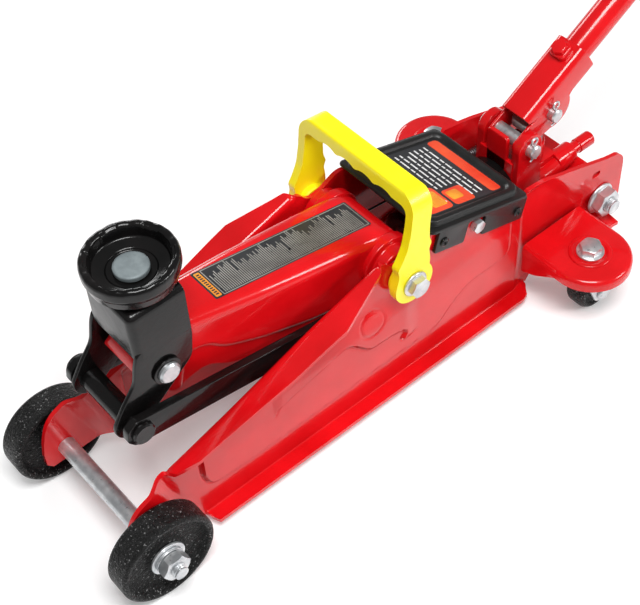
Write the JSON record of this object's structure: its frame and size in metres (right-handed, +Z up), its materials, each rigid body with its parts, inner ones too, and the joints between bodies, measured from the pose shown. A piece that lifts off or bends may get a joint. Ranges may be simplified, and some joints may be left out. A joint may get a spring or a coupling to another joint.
{
  "type": "hydraulic floor jack",
  "caption": "Low trolley jack with pressed side plates, a hydraulic lifting arm with a levelled saddle, front wheels, rear casters, a pump handle and a carrying bail.",
  "frame": {"origin": "middle of the footprint on the floor, with the pump handle in place", "axes": "+X towards the pump handle, +Y to the right when standing at the handle, +Z up"},
  "size_m": [0.793, 0.211, 0.3676],
  "materials": {
    "red_paint": "gloss red enamel",
    "black_paint": "gloss black enamel",
    "cast_wheel": "rough black coated casting",
    "zinc": "bright zinc plating",
    "bare_steel": "oiled bare steel",
    "chrome_rod": "hard chromed rod",
    "black_plastic": "fine moulded texture",
    "yellow_plastic": "smooth moulded",
    "spring_steel": "dark spring wire"
  },
  "bodies": {
    "chassis": {"side_plate_left": "red_paint", "side_plate_right": "red_paint", "front_axle": "zinc", "front_washer_left": "zinc", "front_washer_right": "zinc", "front_nut_left": "zinc", "front_nut_right": "zinc", "arm_pivot_shaft": "bare_steel", "link_stud_left": "zinc", "link_stud_right": "zinc", "caster_mount_left": "red_paint", "caster_mount_right": "red_paint", "caster_bolt_left": "zinc", "caster_bolt_right": "zinc", "power_unit": "red_paint", "reservoir_tube": "black_paint", "return_spring_left": "spring_steel", "return_spring_right": "spring_steel", "rear_cross_bolt": "zinc", "rear_nut": "zinc", "top_cover": "black_plastic", "cover_screw_front_left": "black_paint", "cover_screw_front_right": "black_paint", "cover_screw_rear_left": "black_paint", "cover_screw_rear_right": "black_paint", "side_bolt_left": "zinc", "side_bolt_right": "zinc", "socket_pivot_pin": "zinc", "socket_pivot_cotter": "zinc", "carry_bolt_left": "zinc", "carry_bolt_right": "zinc"},
    "front_wheel_l": {"front_wheel_left": "cast_wheel"},
    "front_wheel_r": {"front_wheel_right": "cast_wheel"},
    "arm": {"lift_arm": "red_paint", "ram_crosshead": "bare_steel"},
    "bracket": {"saddle_bracket": "black_paint", "arm_front_pin": "zinc", "arm_pin_ring_left": "black_paint", "arm_pin_ring_right": "black_paint", "link_front_pin": "black_paint", "saddle_rivet": "zinc"},
    "saddle": {"saddle_cup": "black_paint"},
    "links": {"link_left": "black_paint", "link_right": "black_paint"},
    "ram": {"ram_rod": "chrome_rod"},
    "plunger": {"pump_plunger": "zinc", "plunger_spring": "spring_steel"},
    "pump_handle": {"handle_socket": "red_paint", "socket_clamp_bolt": "red_paint", "roller_pin": "zinc", "roller_pin_cotter": "zinc", "handle_tube": "red_paint"},
    "valve": {"release_valve": "red_paint"},
    "bail": {"carry_handle": "yellow_plastic"},
    "caster_l": {"caster_fork_left": "zinc", "caster_axle_left": "zinc"},
    "caster_r": {"caster_fork_right": "zinc", "caster_axle_right": "zinc"},
    "caster_roller_l": {"caster_wheel_left": "cast_wheel"},
    "caster_roller_r": {"caster_wheel_right": "cast_wheel"}
  },
  "joints": [
    {"name": "arm_lift", "type": "hinge", "parent": "chassis", "child": "arm", "pos_m": [-0.15447, 0, 0.107], "axis": [0, 1, 0], "range_deg": [-25, 45]},
    {"name": "saddle_level", "type": "hinge", "parent": "arm", "child": "bracket", "pos_m": [-0.31747, 0, 0.1345], "axis": [0, 1, 0], "range_deg": [-45, 25]},
    {"name": "saddle_spin", "type": "hinge", "parent": "bracket", "child": "saddle", "pos_m": [-0.31347, 0, 0.19], "axis": [0, 0, 1], "continuous": true},
    {"name": "link_swing", "type": "hinge", "parent": "chassis", "child": "links", "pos_m": [-0.18197, 0, 0.082], "axis": [0, 1, 0], "range_deg": [-25, 45]},
    {"name": "ram_stroke", "type": "slide", "parent": "chassis", "child": "ram", "axis": [-1, 0, 0], "range_m": [-0.0152, 0.0272]},
    {"name": "handle_pump", "type": "hinge", "parent": "chassis", "child": "pump_handle", "pos_m": [-0.01927, 0, 0.1099], "axis": [0, -1, 0], "range_deg": [0, 50]},
    {"name": "plunger_stroke", "type": "slide", "parent": "chassis", "child": "plunger", "axis": [0, 0, 1], "range_m": [0, 0.0164], "deforming": ["plunger_spring"]},
    {"name": "valve_turn", "type": "hinge", "parent": "chassis", "child": "valve", "pos_m": [0.03653, -0.01, 0.068], "axis": [1, 0, 0], "range_deg": [0, 270]},
    {"name": "bail_swing", "type": "hinge", "parent": "chassis", "child": "bail", "pos_m": [-0.15447, 0, 0.107], "axis": [0, 1, 0], "range_deg": [-3, 60]},
    {"name": "front_roll_left", "type": "hinge", "parent": "chassis", "child": "front_wheel_l", "pos_m": [-0.36347, -0.058, 0.033], "axis": [0, 1, 0], "continuous": true},
    {"name": "front_roll_right", "type": "hinge", "parent": "chassis", "child": "front_wheel_r", "pos_m": [-0.36347, 0.058, 0.033], "axis": [0, 1, 0], "continuous": true},
    {"name": "swivel_left", "type": "hinge", "parent": "chassis", "child": "caster_l", "pos_m": [-0.01547, -0.0765, 0.045], "axis": [0, 0, 1], "continuous": true},
    {"name": "swivel_right", "type": "hinge", "parent": "chassis", "child": "caster_r", "pos_m": [-0.01547, 0.0765, 0.045], "axis": [0, 0, 1], "continuous": true},
    {"name": "caster_roll_left", "type": "hinge", "parent": "caster_l", "child": "caster_roller_l", "pos_m": [-0.01047, -0.0765, 0.017], "axis": [0, 1, 0], "continuous": true},
    {"name": "caster_roll_right", "type": "hinge", "parent": "caster_r", "child": "caster_roller_r", "pos_m": [-0.01047, 0.0765, 0.017], "axis": [0, 1, 0], "continuous": true}
  ],
  "couplings": [
    {"joint": "saddle_level", "follows": "arm_lift", "ratio": -1},
    {"joint": "link_swing", "follows": "arm_lift", "ratio": 1},
    {"joint": "ram_stroke", "follows": "arm_lift", "m_per_rad": 0.0345},
    {"joint": "plunger_stroke", "follows": "handle_pump", "m_per_rad": 0.0187}
  ]
}
